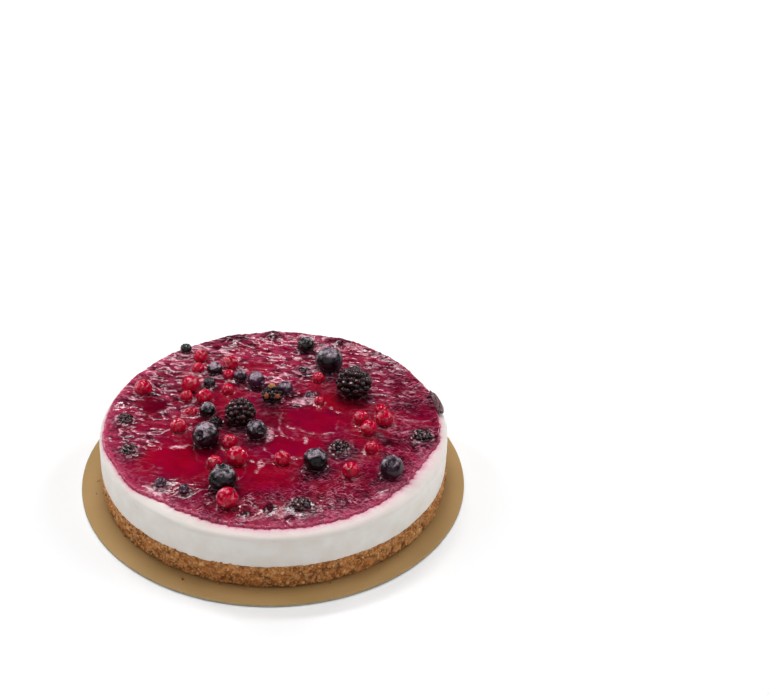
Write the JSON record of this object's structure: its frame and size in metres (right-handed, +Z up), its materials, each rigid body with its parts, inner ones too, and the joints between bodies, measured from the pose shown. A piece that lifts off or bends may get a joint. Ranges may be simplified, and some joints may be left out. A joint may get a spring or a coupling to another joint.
{
  "type": "berry cheesecake on a gold cake board",
  "caption": "Round cheesecake with a crumb base, white cream layer and red berry jelly top set with whole berries, on a flat gold card board.",
  "frame": {"origin": "middle of the cake board's underside", "axes": "+Z up through the cake; -Y towards the side of the cake seen in front; +X to its right"},
  "size_m": [0.2, 0.2, 0.047],
  "materials": {
    "gold_card": "satin gold foil",
    "biscuit_crumb": "rough",
    "cheese_cream": "matte",
    "berry_jelly": "glossy",
    "blueberry_skin": "satin",
    "bramble_skin": "glossy",
    "redcurrant_skin": "glossy"
  },
  "bodies": {
    "root": {"cake_board": "gold_card", "biscuit_base": "biscuit_crumb", "cheese_cream": "cheese_cream", "berry_jelly": "berry_jelly", "blueberry_01": "blueberry_skin", "blueberry_02": "blueberry_skin", "blueberry_03": "blueberry_skin", "blueberry_04": "blueberry_skin", "blueberry_05": "blueberry_skin", "blueberry_06": "blueberry_skin", "blueberry_07": "blueberry_skin", "blueberry_08": "blueberry_skin", "blueberry_09": "blueberry_skin", "blueberry_10": "blueberry_skin", "blueberry_11": "blueberry_skin", "blueberry_12": "blueberry_skin", "blueberry_13": "blueberry_skin", "blueberry_14": "blueberry_skin", "blueberry_15": "blueberry_skin", "blueberry_16": "blueberry_skin", "blueberry_17": "blueberry_skin", "bramble_01": "bramble_skin", "bramble_02": "bramble_skin", "bramble_03": "bramble_skin", "bramble_04": "bramble_skin", "bramble_05": "bramble_skin", "bramble_06": "bramble_skin", "bramble_07": "bramble_skin", "bramble_08": "bramble_skin", "bramble_09": "bramble_skin", "bramble_10": "bramble_skin", "redcurrant_01": "redcurrant_skin", "redcurrant_02": "redcurrant_skin", "redcurrant_03": "redcurrant_skin", "redcurrant_04": "redcurrant_skin", "redcurrant_05": "redcurrant_skin", "redcurrant_06": "redcurrant_skin", "redcurrant_07": "redcurrant_skin", "redcurrant_08": "redcurrant_skin", "redcurrant_09": "redcurrant_skin", "redcurrant_10": "redcurrant_skin", "redcurrant_11": "redcurrant_skin", "redcurrant_12": "redcurrant_skin", "redcurrant_13": "redcurrant_skin", "redcurrant_14": "redcurrant_skin", "redcurrant_15": "redcurrant_skin", "redcurrant_16": "redcurrant_skin", "redcurrant_17": "redcurrant_skin", "redcurrant_18": "redcurrant_skin", "redcurrant_19": "redcurrant_skin", "redcurrant_20": "redcurrant_skin", "redcurrant_21": "redcurrant_skin", "redcurrant_22": "redcurrant_skin", "redcurrant_23": "redcurrant_skin", "redcurrant_24": "redcurrant_skin", "rim_berry": "bramble_skin"}
  },
  "joints": []
}
